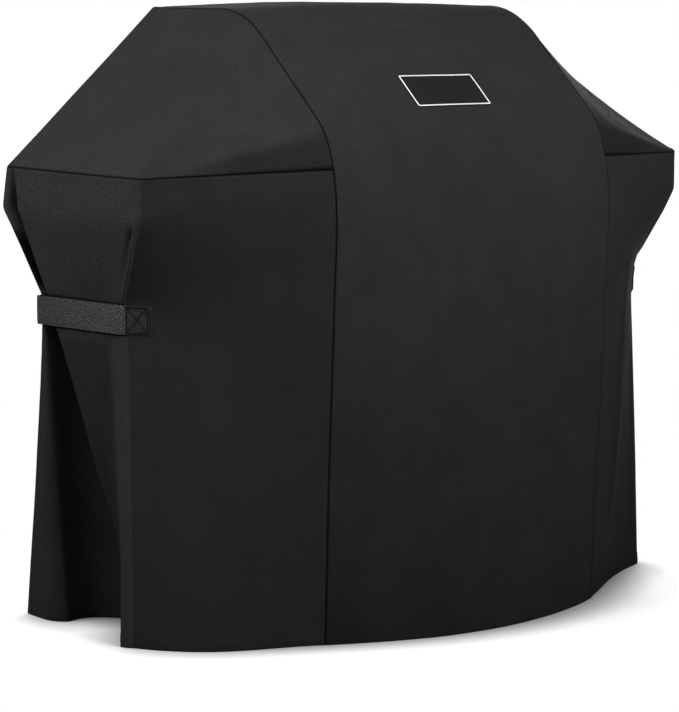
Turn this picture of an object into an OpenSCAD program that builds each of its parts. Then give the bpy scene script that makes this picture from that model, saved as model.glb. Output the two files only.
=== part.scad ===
/* [Overall size] */
// Width over the two side shelves
cover_w = 1244; // [1040:1:1500]
// Depth at the hem, from the bowed front to the rear corners
cover_d = 619; // [560:1:750]
// Height of the roof at the two long seams
roof_h = 1090; // [1040:1:1320]
// Rise of the roof half way between the long seams
roof_crown = 8; // [0:0.5:20]

/* [Hood] */
// Width between the two long seams
hood_w = 625; // [520:1:760]
// Depth of the roof, from the rear edge to where the flat roof and the slope would meet
roof_d = 285; // [230:1:345]
// How far the lower hood bend stands in front of the hem at a long seam
hood_overhang = 44; // [0:1:70]
// Height of the lower hood bend above the shelves
hood_bend_rise = 39; // [25:1:60]
// Length of cloth that the upper hood bend takes on each side
upper_bend = 80; // [40:1:90]
// Length of cloth that the lower hood bend takes below it
lower_bend_below = 167; // [100:1:180]
// Length of cloth that the lower hood bend takes above it
lower_bend_above = 83; // [40:1:90]
// Outward bow of the middle of the front hem
front_bow = 82; // [0:1:100]
// Outward bow of the middle of the rear hem
rear_bow = 10; // [0:1:14]

/* [Side shelves] */
// Height of the shelf edges
shelf_h = 814; // [740:1:880]
// Depth of a shelf at its end
shelf_d = 403; // [360:1:480]
// Height of the upright band below a shelf edge
shelf_drop = 72; // [40:1:100]
// Rise of the shelf seam from the shelf corner to the long seam
seam_rise = 10; // [0:1:20]
// Corner allowance of a shelf
shelf_round = 26; // [12:1:40]
// Sag in the middle of a shoulder
shoulder_sag = 9; // [0:0.5:20]
// Sag in the middle of the left shoulder's crest and rear edge
left_crest_sag = 2; // [0:1:40]
// Sag in the middle of the right shoulder's crest and rear edge
right_crest_sag = 32; // [0:1:40]

/* [Skirt] */
// How far the straps pull the corners in from the shelf ends
pinch_w = 30; // [10:1:45]
// How far the straps pull the front corners back
pinch_front = 85; // [40:1:100]
// How far the straps pull the rear corners forward
pinch_rear = 95; // [40:1:110]
// How far the front corners of the hem stand in from the shelf ends
hem_in_front = 17; // [0:1:40]
// How far the rear corners of the hem stand in from the shelf ends
hem_in_rear = 45; // [10:1:60]
// Outward bulge of the left front panel at the hem
left_bulge = 40; // [0:1:45]
// Outward bulge of the right front panel at the hem
right_bulge = 6; // [0:1:45]
// Outward bulge of a front panel at the height of the strap
strap_bulge = 14; // [0:1:20]
// How far the rear corners flare behind the roof's rear edge
rear_flare = 27; // [16:1:40]
// Depth of the pleat behind a strap
pleat_d = 92; // [60:1:110]
// Depth of the pleat at the hem
pleat_hem_d = 165; // [120:1:190]
// Height where the pleat's fold leaves the front corner
pleat_foot = 150; // [100:1:220]

/* [Cloth and tape] */
// Thickness of the coated cloth
cloth_t = 1.5; // [1:0.1:2]
// Width of the turned hem facing
hem_w = 25; // [18:1:40]
// Thickness of the turned hem facing
hem_t = 1.2; // [0.8:0.1:1.6]
// Width of the seam tape
tape_w = 15; // [10:1:20]
// Thickness of the seam tape
tape_t = 0.8; // [0.5:0.1:1.2]

/* [Straps] */
// Height of a strap's lower edge
strap_h = 544; // [480:1:600]
// Width of the webbing
strap_w = 50; // [38:1:60]
// Thickness of the webbing
strap_t = 1.8; // [1.2:0.1:2.2]
// Length of the anchor patch sewn to the front panel
anchor_w = 57; // [40:1:70]
// Thickness of the anchor patch
anchor_t = 1.5; // [1:0.1:2]
// Gap between the anchor patch's corner and the strap's fold line
fold_gap = 3.5; // [3:0.1:5]
// How far a strap stands off the rear corner
strap_standoff = 10; // [6:0.5:14]
// Length of the hook pad and of the loop pad
pad_w = 70; // [50:1:90]
// Thickness of the hook pad and of the loop pad
pad_t = 1.5; // [1:0.1:2]
// Running gap between pieces that part from each other
clearance = 0.5; // [0.3:0.1:0.8]

/* [Label] */
// Width of the blank label patch
label_w = 165; // [120:1:200]
// Height of the blank label patch
label_h = 76; // [50:1:90]
// Distance of the label patch above the lower hood bend
label_rise = 18; // [10:1:25]
// Thickness of the label patch
label_t = 1; // [0.6:0.1:1.5]

/* [Hidden] */

cloth_colour = "#2b2b2d";
tape_colour = "#1c1c1e";
strap_colour = "#3a3a3c";
thread_colour = "#505052";

half_w = cover_w / 2;
seam_x = hood_w / 2;
rear_y = cover_d / 2 - rear_flare;
shelf_y = rear_y - shelf_d;
hem_seam_y = front_bow - cover_d / 2;
hem_rear_seam_y = rear_y + rear_flare - rear_bow - 5;
seam_h = shelf_h + seam_rise;
fascia_h = shelf_h - shelf_drop;
strap_top = strap_h + strap_w;

// Small helpers for points, paths and tables
function mix(a, b, t) = a + (b - a) * t;
function unit(v) = v / norm(v);
function left_of(v) = [-v[1], v[0]] / norm(v);
function spread(a, b, n) = [for (i = [1:n]) mix(a, b, i / (n + 1))];
function bend(a, b, c, t) = mix(mix(a, b, t), mix(b, c, t), t);
function mitre(a, b) = (a + b) / (1 + a * b);

// Heights of the rows of cloth points at the corners, from the hem to the shelf edge
skirt_rows = 9;
row_z = concat([0, hem_w], spread(hem_w, strap_h, skirt_rows), [strap_h, strap_top],
    spread(strap_top, fascia_h, 5), [fascia_h, shelf_h - tape_w, shelf_h]);
row_n = len(row_z) - 1;
strap_row = skirt_rows + 2;
function raised(z, top) = z <= strap_top ? z : mix(strap_top, top, (z - strap_top) / (shelf_h - strap_top));

// Side view of the hood: the roof and the slope meet at upper_corner, the slope and the front at lower_corner
upper_corner = [rear_y - roof_d, roof_h];
lower_corner = [hem_seam_y - hood_overhang, shelf_h + hood_bend_rise];
slope_dir = unit(upper_corner - lower_corner);
front_dir = unit([hem_seam_y, 0] - lower_corner);
lower_start = lower_corner + lower_bend_below * front_dir;
lower_end = lower_corner + lower_bend_above * slope_dir;
upper_start = upper_corner - upper_bend * slope_dir;
upper_end = upper_corner + [upper_bend, 0];

// Share of the lower bend at which it reaches height z
function bend_share(z) = let(
        a = lower_start[1] - 2 * lower_corner[1] + lower_end[1],
        b = 2 * (lower_corner[1] - lower_start[1]),
        c = lower_start[1] - z)
    -2 * c / (b + sqrt(b * b - 4 * a * c));
function front_y(z) = z <= lower_start[1] ? mix(hem_seam_y, lower_start[0], z / lower_start[1])
    : bend(lower_start, lower_corner, lower_end, bend_share(z))[0];
function back_y(z) = mix(hem_rear_seam_y, rear_y, z / roof_h);

// Plan of an end panel: shelf corner, ridge of the fold, bottom of the pleat, rear fold, rear corner
arc_n = 12;
flap_n = 4;
in_n = 3;
out_n = 4;
tuck_top = shelf_h - 29;
tuck_step = 8;
function corner(z) = [
    lookup(z, [[0, half_w - hem_in_front], [strap_h, half_w - pinch_w], [strap_top, half_w - pinch_w],
        [fascia_h, half_w]]),
    lookup(z, [[0, shelf_y + pinch_front - 2], [strap_h, shelf_y + pinch_front],
        [strap_top, shelf_y + pinch_front], [fascia_h, shelf_y]])];
function rear_corner(z) = [
    lookup(z, [[0, half_w - hem_in_rear], [strap_h, half_w - 8], [strap_top, half_w - 8],
        [fascia_h, half_w + 6], [shelf_h, half_w]]),
    lookup(z, [[0, rear_y + rear_flare], [strap_h, rear_y - pinch_rear], [strap_top, rear_y - pinch_rear],
        [fascia_h, rear_y + 15], [shelf_h, rear_y]])];
function round_r(z) = lookup(z, [[0, 6], [strap_top, 6], [fascia_h, shelf_round], [shelf_h, shelf_round]]);
flap_strap_y = rear_y - pinch_rear - 38;
function ridge(z) = z < strap_h ? let(s = max(0, (z - pleat_foot) / (strap_h - pleat_foot)))
        [mix(corner(z)[0], half_w - 8, s), mix(corner(z)[1] + 14, flap_strap_y, pow(s, 1.2))]
    : [lookup(z, [[strap_h, half_w - 8], [strap_top, half_w - 9], [fascia_h, half_w]]),
        lookup(z, [[strap_h, flap_strap_y], [strap_top, rear_y - pinch_rear - 13],
            [fascia_h, rear_y - 3.4 * tuck_step], [shelf_h, rear_y - 3 * tuck_step]])];
function rear_fold(z) = [
    lookup(z, [[0, half_w - hem_in_rear + 8], [strap_h, half_w - 7], [strap_top, half_w - 8],
        [fascia_h, half_w + 3], [shelf_h, half_w]]),
    lookup(z, [[0, rear_y - 62], [strap_h, rear_y - pinch_rear - 9], [strap_top, rear_y - pinch_rear - 7],
        [fascia_h, rear_y], [shelf_h, rear_y - tuck_step]])];
function valley(z) = [
    half_w - lookup(z, [[0, pleat_hem_d + hem_in_front], [strap_h, pleat_d + 8], [strap_top, pleat_d + 8],
        [fascia_h, 35], [tuck_top, 8], [shelf_h, 0]]),
    z < strap_h ? mix(rear_y - 180, rear_y - pinch_rear - 20, z / strap_h)
        : lookup(z, [[strap_h, rear_y - pinch_rear - 20], [strap_top, rear_y - pinch_rear - 10],
            [fascia_h, rear_y - 1.6 * tuck_step], [shelf_h, rear_y - 2 * tuck_step]])];
function rear_bulge(z) = 35 * max(0, 1 - z / strap_h);

function front_dir_at(z) = unit(corner(z) - [seam_x, front_y(raised(z, seam_h))]);
function corner_start(z) = corner(z) - round_r(z) * front_dir_at(z);
function corner_end(z) = corner(z) + round_r(z) * unit(ridge(z) - corner(z));
function end_plan(z) = concat(
    [for (i = [0:arc_n]) bend(corner_start(z), corner(z), corner_end(z), i / arc_n)],
    [for (i = [1:flap_n]) mix(corner_end(z), ridge(z), i / flap_n)],
    [for (i = [1:in_n]) mix(ridge(z), valley(z), i / in_n)],
    [for (i = [1:out_n]) mix(valley(z), rear_fold(z), i / out_n) + [0, rear_bulge(z) * sin(180 * i / out_n)]],
    [rear_corner(z)]);
end_n = arc_n + flap_n + in_n + out_n + 1;

// Inward direction of the cloth at each point of a plan path; the two ends are given
function inward(path, first, last) = [for (i = [0:len(path) - 1])
    i == 0 ? first : i == len(path) - 1 ? last : left_of(path[i + 1] - path[i - 1])];
function front_inward(z) = left_of(front_dir_at(z));
function rear_chord(z) = unit([seam_x, back_y(raised(z, roof_h))] - rear_corner(z));
function rear_inward(z) = mitre(left_of(rear_corner(z) - rear_fold(z)), left_of(rear_chord(z)));

// A grid holds rows of [point, inward direction]; columns run to the right as seen from outside
function lift(path, dirs, heights, drop) = [for (i = [0:len(path) - 1])
    [[path[i][0], path[i][1], heights[i]], [dirs[i][0], dirs[i][1], -drop[i]]]];
function same(value, n) = [for (i = [0:n]) value];

function end_grid() = [for (z = row_z) let(plan = end_plan(z))
    lift(plan, inward(plan, front_inward(z), rear_inward(z)), same(z, end_n),
        same(z == shelf_h ? 1 : 0, end_n))];

// Front panel: from the long seam to the corner, the last two columns at fixed distances from the corner
front_n = 8;
function front_share(z) = let(length = norm(corner_start(z) - [seam_x, front_y(raised(z, seam_h))]))
    concat([for (i = [0:front_n - 2]) i / (front_n - 2) * (1 - anchor_w / length)], [1 - tape_w / length, 1]);
function front_plan(z, bulge) = let(
        from = [seam_x, front_y(raised(z, seam_h))],
        size = lookup(z, [[0, bulge], [strap_h, strap_bulge], [strap_top, strap_bulge], [shelf_h, 0]]))
    [for (s = front_share(z)) mix(from, corner_start(z), s) - size * sin(180 * pow(s, 1.4)) * front_inward(z)];
function front_grid(bulge) = [for (z = row_z) let(
        plan = front_plan(z, bulge),
        share = front_share(z))
    lift(plan, inward(plan, [0, 1], front_inward(z)), [for (s = share) mix(raised(z, seam_h), z, s)],
        [for (s = share) z == shelf_h ? s : 0])];

// Back panel: from the rear corner to the long seam, the first columns at fixed distances from the corner
back_n = front_n;
function back_share(z) = let(length = norm([seam_x, back_y(raised(z, roof_h))] - rear_corner(z)))
    concat([0, tape_w / length], [for (i = [0:back_n - 2])
        mix((tape_w + pad_w) / length, 1, i / (back_n - 2))]);
function back_grid(sag) = [for (z = row_z) let(
        share = back_share(z),
        plan = [for (s = share) mix(rear_corner(z), [seam_x, back_y(raised(z, roof_h))], s)],
        drop = sag * lookup(z, [[strap_top, 0], [shelf_h, 1]]))
    lift(plan, inward(plan, rear_inward(z), [0, -1]),
        [for (s = share) mix(z, raised(z, roof_h), s) - drop * sin(180 * s)],
        same(z == shelf_h ? 1 : 0, back_n))];

// Side view points from the shelf seam up over the hood to the roof's rear edge, one for each end panel column
bend_start = bend_share(seam_h);
end_top = end_plan(shelf_h);
arch = concat(
    [for (i = [0:4]) bend(lower_start, lower_corner, lower_end, mix(bend_start, 1, i / 4))],
    [lower_end + label_rise * slope_dir, lower_end + (label_rise + label_h) * slope_dir],
    [for (i = [0:5]) bend(upper_start, upper_corner, upper_end, i / 5)],
    [for (i = [arc_n + 1:end_n]) [mix(upper_end[0], rear_y,
        (end_top[i][1] - end_top[arc_n][1]) / (rear_y - end_top[arc_n][1])), roof_h]]);
label_row = row_n + 5;

// Centre panel: side view of the long seam, then bowed and crowned between the seams
seam_line = concat([for (z = row_z) [front_y(raised(z, seam_h)), raised(z, seam_h)]],
    [for (i = [1:end_n]) arch[i]],
    [for (i = [row_n - 1:-1:0]) [back_y(raised(row_z[i], roof_h)), raised(row_z[i], roof_h)]]);
rear_row = row_n + end_n;
function bowed(p, i, s) = i > rear_row ? [p[0] + rear_bow * (1 - p[1] / roof_h) * s, p[1]]
    : [p[0] - front_bow * pow(max(0, 1 - p[1] / roof_h), 1.4) * s,
        p[1] + roof_crown * max(0, (p[1] - seam_h) / (roof_h - seam_h)) * s];
function seam_inward(line, i) = i <= row_n ? [1, 0] : i == rear_row ? [-1, -1] : i > rear_row ? [-1, 0]
    : let(d = unit(line[i + 1] - line[i - 1])) [d[1], -d[0]];
function station(x) = let(
        s = 1 - pow(x / seam_x, 2),
        line = [for (i = [0:len(seam_line) - 1]) bowed(seam_line[i], i, s)])
    [for (i = [0:len(line) - 1]) let(d = seam_inward(line, i))
        [[x, line[i][0], line[i][1]], [0, d[0], d[1]]]];
half_stations = concat([0, label_w / 2], spread(label_w / 2, seam_x - tape_w, 2), [seam_x - tape_w, seam_x]);
station_n = len(half_stations) - 1;
stations = concat([for (i = [station_n:-1:1]) -half_stations[i]], half_stations);
centre_columns = [for (x = stations) station(x)];
function centre_grid() = [for (i = [0:len(seam_line) - 1]) [for (column = centre_columns) column[i]]];

// Shoulder panel: lines from the arch to the shelf's end, closed by the top rows of the front and back panels
function shoulder_drop(k, sag) = shoulder_sag * sin(180 * k / end_n) + sag * min(1, k / arc_n);
function shoulder_grid(sag) = let(
        arch_side = station(seam_x),
        end_side = end_grid()[row_n],
        front_side = front_grid(0)[row_n],
        back_side = back_grid(sag)[row_n])
    [for (k = [0:end_n]) [for (i = [0:front_n]) let(
            s = mix(front_share(shelf_h)[i], 1 - back_share(shelf_h)[front_n - i], k / end_n))
        k == 0 ? front_side[i]
        : k == end_n ? back_side[front_n - i]
        : i == 0 ? arch_side[row_n + k]
        : i == front_n ? end_side[k]
        : [mix(arch_side[row_n + k][0], end_side[k][0], s) - [0, 0, shoulder_drop(k, sag) * sin(180 * s)],
            mix(arch_side[row_n + k][1], end_side[k][1], s)]]];

// Part of a grid, from one row and column to another
function part(grid, row_a, row_b, col_a, col_b) =
    [for (i = [row_a:row_b]) [for (j = [col_a:col_b]) grid[i][j]]];

// Closed sheet between two depths below the outer surface of a grid. Neighbouring sheets split their shared
// rims along the same diagonals, so they meet face to face
module sheet(grid, near, far) {
    rows = len(grid) - 1;
    cols = len(grid[0]) - 1;
    points = [for (depth = [near, far]) for (row = grid) for (v = row) v[0] + depth * v[1]];
    back = (rows + 1) * (cols + 1);
    function at(i, j) = i * (cols + 1) + j;
    function rim(a, b) = [[a, b, b + back], [a, b + back, a + back]];
    function far_rim(a, b) = [[b, a, b + back], [a, a + back, b + back]];
    faces = concat(
        [for (i = [0:rows - 1]) for (j = [0:cols - 1]) each [
            [at(i, j), at(i + 1, j), at(i + 1, j + 1)],
            [at(i, j), at(i + 1, j + 1), at(i, j + 1)],
            [at(i, j) + back, at(i + 1, j + 1) + back, at(i + 1, j) + back],
            [at(i, j) + back, at(i, j + 1) + back, at(i + 1, j + 1) + back]]],
        [for (j = [0:cols - 1]) each
            concat(rim(at(0, j), at(0, j + 1)), far_rim(at(rows, j), at(rows, j + 1)))],
        [for (i = [0:rows - 1]) each
            concat(far_rim(at(i, 0), at(i + 1, 0)), rim(at(i, cols), at(i + 1, cols)))]);
    polyhedron(points, faces);
}

module on_side(side) {
    if (side < 0) {
        mirror([1, 0, 0]) children();
    } else {
        children();
    }
}

function bulge_of(side) = side < 0 ? left_bulge : right_bulge;
function sag_of(side) = side < 0 ? left_crest_sag : right_crest_sag;

module centre_panel() {
    color(cloth_colour) sheet(centre_grid(), 0, cloth_t);
}

module shoulder_panel(side) {
    color(cloth_colour) on_side(side) sheet(shoulder_grid(sag_of(side)), 0, cloth_t);
}

module front_panel(side) {
    color(cloth_colour) on_side(side) sheet(front_grid(bulge_of(side)), 0, cloth_t);
}

module end_panel(side) {
    color(cloth_colour) on_side(side) sheet(end_grid(), 0, cloth_t);
}

module back_panel(side) {
    color(cloth_colour) on_side(side) sheet(back_grid(sag_of(side)), 0, cloth_t);
}

// Turned hem facing: the lowest row of a panel, laid against its inside
module hem_facing(grid) {
    color(cloth_colour) sheet(part(grid, 0, 1, 0, len(grid[0]) - 1), cloth_t, cloth_t + hem_t);
}

module centre_front_hem() {
    hem_facing(centre_grid());
}

module centre_back_hem() {
    grid = centre_grid();
    last = len(grid) - 1;
    color(cloth_colour) sheet(part(grid, last - 1, last, 0, len(stations) - 1), cloth_t, cloth_t + hem_t);
}

module front_hem(side) {
    on_side(side) hem_facing(front_grid(bulge_of(side)));
}

module end_hem(side) {
    on_side(side) hem_facing(end_grid());
}

module back_hem(side) {
    on_side(side) hem_facing(back_grid(sag_of(side)));
}

// Seam tape on the inside of the cloth, over part of a grid
module seam_tape(grid) {
    color(tape_colour) sheet(grid, cloth_t, cloth_t + tape_t);
}

module long_seam_tape(side) {
    first_col = side < 0 ? 0 : len(stations) - 2;
    seam_tape(part(centre_grid(), 1, len(seam_line) - 2, first_col, first_col + 1));
}

module shelf_seam_tape(side) {
    front = part(front_grid(bulge_of(side)), row_n - 1, row_n, 0, front_n);
    end = part(end_grid(), row_n - 1, row_n, 1, end_n);
    on_side(side) seam_tape([for (i = [0:1]) concat(front[i], end[i])]);
}

module front_corner_tape(side) {
    on_side(side) seam_tape(part(front_grid(bulge_of(side)), 1, row_n - 1, front_n - 1, front_n));
}

module rear_corner_tape(side) {
    on_side(side) seam_tape(part(back_grid(sag_of(side)), 1, row_n - 1, 0, 1));
}

// Plan route of a strap's inner face: fold line, rear corner, then flat along the back panel
strap_mid = strap_h + strap_w / 2;
fold_line = corner(strap_mid) + [fold_gap, 2];
back_line = rear_chord(strap_mid);
back_out = -left_of(back_line);
strap_lift = 2 * pad_t + clearance;
pad_start = rear_corner(strap_mid) + tape_w * back_line + strap_lift * back_out;
pad_end = pad_start + pad_w * back_line;
turn = rear_corner(strap_mid) + [strap_standoff, 4];
turn_r = 7;
turn_in = turn - turn_r * unit(turn - fold_line);
turn_out = turn + turn_r * unit(pad_start - turn);
strap_route = concat([fold_line], [for (i = [0:6]) bend(turn_in, turn, turn_out, i / 6)],
    [pad_start, pad_end]);

// Flat band beside a route, on its right-hand side as the route runs
function beside(route, gap) = let(n = len(route) - 1) [for (i = [0:n])
    i == 0 ? route[0] - gap * left_of(route[1] - route[0])
    : i == n ? route[n] - gap * left_of(route[n] - route[n - 1])
    : route[i] - gap * mitre(left_of(route[i] - route[i - 1]), left_of(route[i + 1] - route[i]))];
module band(route, near, far) {
    outer = beside(route, far);
    inner = beside(route, near);
    translate([0, 0, strap_h]) linear_extrude(strap_w)
        polygon(concat(inner, [for (i = [len(outer) - 1:-1:0]) outer[i]]));
}

module strap(side) {
    color(strap_colour) on_side(side) band(strap_route, 0, strap_t);
}

module hook_pad(side) {
    color(tape_colour) on_side(side) band([pad_start, pad_end], -pad_t, 0);
}

module loop_pad(side) {
    color(tape_colour) on_side(side) sheet(part(back_grid(0), strap_row, strap_row + 1, 1, 2), -pad_t, 0);
}

module strap_anchor(side) {
    color(strap_colour) on_side(side)
        sheet(part(front_grid(bulge_of(side)), strap_row, strap_row + 1, front_n - 2, front_n), -anchor_t, 0);
}

// Box and cross of thread on the anchor patch, one small solid for each stitch
stitch_l = 4;
stitch_t = 0.7;
stitch_pitch = 6;
stitch_in = 6;
stitch_gap = 0.4;
module stitch_row(from, to) {
    count = floor(norm(to - from) / stitch_pitch);
    angle = atan2(to[1] - from[1], to[0] - from[0]);
    for (i = [0:count - 1]) {
        at = mix(from, to, (i + 0.5) / count);
        translate([at[0], 0, at[1]]) rotate([0, -angle, 0])
            cube([stitch_l, stitch_t, stitch_t], center = true);
    }
}

module anchor_stitching(side) {
    outline = [[stitch_in, stitch_in], [anchor_w - stitch_in, stitch_in],
        [anchor_w - stitch_in, strap_w - stitch_in], [stitch_in, strap_w - stitch_in]];
    plan = front_plan(strap_mid, bulge_of(side));
    along = unit(plan[front_n] - plan[front_n - 2]);
    origin = plan[front_n - 2] - (anchor_t + stitch_t / 2 + stitch_gap) * left_of(along);
    color(thread_colour) on_side(side)
        translate([origin[0], origin[1], strap_h]) rotate([0, 0, atan2(along[1], along[0])]) {
            for (i = [0:3]) {
                stitch_row(outline[i], outline[(i + 1) % 4]);
            }
            inset = [stitch_pitch, stitch_pitch];
            stitch_row(outline[0] + inset, outline[2] - inset);
        }
}

module label_patch() {
    middle = station_n;
    patch = part(centre_grid(), label_row, label_row + 1, middle - 1, middle + 1);
    color(tape_colour) sheet(patch, -label_t, 0);
}

centre_panel();
shoulder_panel(-1);  // left_shoulder_panel
shoulder_panel(1);  // right_shoulder_panel
front_panel(-1);  // left_front_panel
front_panel(1);  // right_front_panel
end_panel(-1);  // left_end_panel
end_panel(1);  // right_end_panel
back_panel(-1);  // left_back_panel
back_panel(1);  // right_back_panel
centre_front_hem();
centre_back_hem();
front_hem(-1);  // left_front_hem
front_hem(1);  // right_front_hem
end_hem(-1);  // left_end_hem
end_hem(1);  // right_end_hem
back_hem(-1);  // left_back_hem
back_hem(1);  // right_back_hem
long_seam_tape(-1);  // left_long_seam_tape
long_seam_tape(1);  // right_long_seam_tape
shelf_seam_tape(-1);  // left_shelf_seam_tape
shelf_seam_tape(1);  // right_shelf_seam_tape
front_corner_tape(-1);  // left_front_corner_tape
front_corner_tape(1);  // right_front_corner_tape
rear_corner_tape(-1);  // left_rear_corner_tape
rear_corner_tape(1);  // right_rear_corner_tape
strap(-1);  // left_strap
strap(1);  // right_strap
hook_pad(-1);  // left_hook_pad
hook_pad(1);  // right_hook_pad
loop_pad(-1);  // left_loop_pad
loop_pad(1);  // right_loop_pad
strap_anchor(-1);  // left_strap_anchor
strap_anchor(1);  // right_strap_anchor
anchor_stitching(-1);  // left_anchor_stitching
anchor_stitching(1);  // right_anchor_stitching
label_patch();
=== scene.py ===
import math

import bmesh
import bpy
from mathutils import Matrix, Vector, noise


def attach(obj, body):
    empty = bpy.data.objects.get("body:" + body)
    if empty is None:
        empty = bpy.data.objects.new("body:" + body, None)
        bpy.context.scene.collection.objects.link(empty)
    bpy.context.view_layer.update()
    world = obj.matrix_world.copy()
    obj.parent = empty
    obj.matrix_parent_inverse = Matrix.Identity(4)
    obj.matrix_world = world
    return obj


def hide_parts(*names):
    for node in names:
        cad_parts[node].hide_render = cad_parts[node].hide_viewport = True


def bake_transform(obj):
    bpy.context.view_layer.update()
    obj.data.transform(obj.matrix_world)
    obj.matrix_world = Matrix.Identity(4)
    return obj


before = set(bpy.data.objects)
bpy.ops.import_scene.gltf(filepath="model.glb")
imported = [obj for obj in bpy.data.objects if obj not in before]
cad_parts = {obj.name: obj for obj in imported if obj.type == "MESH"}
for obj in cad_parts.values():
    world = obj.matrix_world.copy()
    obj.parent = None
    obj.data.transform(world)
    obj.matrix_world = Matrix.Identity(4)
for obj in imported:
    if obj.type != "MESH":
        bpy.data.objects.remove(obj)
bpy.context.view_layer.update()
scene = bpy.context.scene
scene.view_settings.view_transform = "Standard"

# Camera: a long lens in front of the cover and to its left, looking a little down on it
turn, look_down = math.radians(-38), math.radians(7.415)
camera = bpy.data.objects.new("camera", bpy.data.cameras.new("camera"))
camera.data.lens = 149.88
camera.data.sensor_width = 36
camera.data.clip_end = 60
camera.location = (-3.382, -4.2005, 1.158)
camera.rotation_euler = (math.pi / 2 - look_down, 0, turn)
scene.collection.objects.link(camera)
scene.camera = camera

# Centre panel: one length of coated polyester from the front hem up over the hood and down to the rear
# hem. It is bowed outwards between its two long seams, and it carries the cloth that all the panels share.
seam_x, rear_y, roof_h, roof_crown = 0.3125, 0.2825, 1.090, 0.008
shelf_h, shelf_seam_h, fascia_h = 0.814, 0.824, 0.742
strap_low, strap_mid, strap_high = 0.544, 0.569, 0.594
front_hem_y, rear_hem_y = -0.2275, 0.2945
front_bow, rear_bow = 0.082, 0.010
cloth_thick, cloth_give = 0.0012, 0.006
corner_steps, centre_step = 44, 0.0115
upper_corner, lower_corner = Vector((-0.0025, roof_h)), Vector((-0.2715, 0.853))
slope_way = (upper_corner - lower_corner).normalized()
front_way = (Vector((front_hem_y, 0)) - lower_corner).normalized()
lower_start, lower_end = lower_corner + 0.167 * front_way, lower_corner + 0.083 * slope_way
upper_start, upper_end = upper_corner - 0.070 * slope_way, upper_corner + Vector((0.070, 0))


def along(at, *stops):
    """Value at a height, on straight lines between (height, value) stops."""
    for (a, low), (b, high) in zip(stops, stops[1:]):
        if at <= b:
            return low + (high - low) * max(0, at - a) / (b - a)
    return stops[-1][1]


def eased(at, give, *stops):
    """The same, with its corners eased over the cloth's give."""
    return sum(along(at + give * k / 4, *stops) for k in range(-4, 5)) / 9


def curve(a, b, c, t):
    return a.lerp(b, t).lerp(b.lerp(c, t), t)


def smooth(t):
    t = min(1, max(0, t))
    return t * t * (3 - 2 * t)


def raised(z, top):
    """Height at a long seam of the row that is at z on the corners."""
    if z <= strap_high:
        return z
    return strap_high + (top - strap_high) * (z - strap_high) / (shelf_h - strap_high)


def bend_share(z):
    """How far along the hood's lower bend the height z is passed."""
    a = lower_start.y - 2 * lower_corner.y + lower_end.y
    b = 2 * (lower_corner.y - lower_start.y)
    c = lower_start.y - z
    return -2 * c / (b + math.sqrt(b * b - 4 * a * c))


def front_y(z):
    """Front of a long seam at a height, up to the hood's lower bend."""
    if z <= lower_start.y:
        return front_hem_y + (lower_start.x - front_hem_y) * z / lower_start.y
    return curve(lower_start, lower_corner, lower_end, bend_share(z)).x


def back_y(z):
    return rear_hem_y + (rear_y - rear_hem_y) * z / roof_h


# Rows and columns stand closer together beside the seams and the hem, where the cloth is turned
beside_seam = (0, 0.0012, 0.0028, 0.005, 0.0075, 0.0105, 0.015, 0.024)
beside_hem = (0, 0.0015, 0.004, 0.009, 0.015, 0.0195, 0.022, 0.0235, 0.025, 0.0275, 0.032)


def evenly(a, b, step):
    count = max(1, round((b - a) / step))
    return [a + (b - a) * k / count for k in range(1, count + 1)]


def seamed(width, step):
    """Shares of a width, closer together beside the seams at both sides."""
    middle = evenly(beside_seam[-1], width - beside_seam[-1], step)
    return [d / width for d in (*beside_seam, *middle, *(width - d for d in beside_seam[-2::-1]))]


beside_strap = 0.0025
skirt_z = [*beside_hem, *evenly(beside_hem[-1], strap_low - 2 * beside_strap, 0.0085),
           *evenly(strap_low - 2 * beside_strap, strap_low + beside_strap, beside_strap),
           *evenly(strap_low + beside_strap, strap_high - beside_strap, 0.006),
           *evenly(strap_high - beside_strap, strap_high + 2 * beside_strap, beside_strap),
           *evenly(strap_high + 2 * beside_strap, shelf_h - beside_seam[-1], 0.0075),
           *(shelf_h - d for d in beside_seam[-2::-1])]

# Points of the pleated end, counted along a row: corner, flap, ridge, wall, pleat, wall, rear fold, rear
pleat_steps = (30, 5, 11, 4, 12, 9, 7)
end_steps = corner_steps + sum(pleat_steps)
arch_low, arch_high = corner_steps * 0.27, corner_steps * 0.68


def arch_at(k):
    """Side view point of a long seam, k steps from the shelf seam towards the roof's rear edge."""
    if k > corner_steps:
        return upper_end.lerp(Vector((rear_y, roof_h)), (k - corner_steps) / (end_steps - corner_steps))
    if k <= arch_low:
        start = bend_share(shelf_seam_h)
        return curve(lower_start, lower_corner, lower_end, start + (1 - start) * k / arch_low)
    if k <= arch_high:
        return lower_end.lerp(upper_start, (k - arch_low) / (arch_high - arch_low))
    return curve(upper_start, upper_corner, upper_end, (k - arch_high) / (corner_steps - arch_high))


seam_line = [Vector((front_y(raised(z, shelf_seam_h)), raised(z, shelf_seam_h))) for z in skirt_z]
seam_line += [arch_at(k) for k in range(1, end_steps + 1)]
rear_edge = len(seam_line) - 1
seam_line += [Vector((back_y(raised(z, roof_h)), raised(z, roof_h))) for z in reversed(skirt_z[:-1])]


# The cloth's waves are drawn from one fixed seed, so they are the same each time
noise.seed_set(1)


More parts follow.
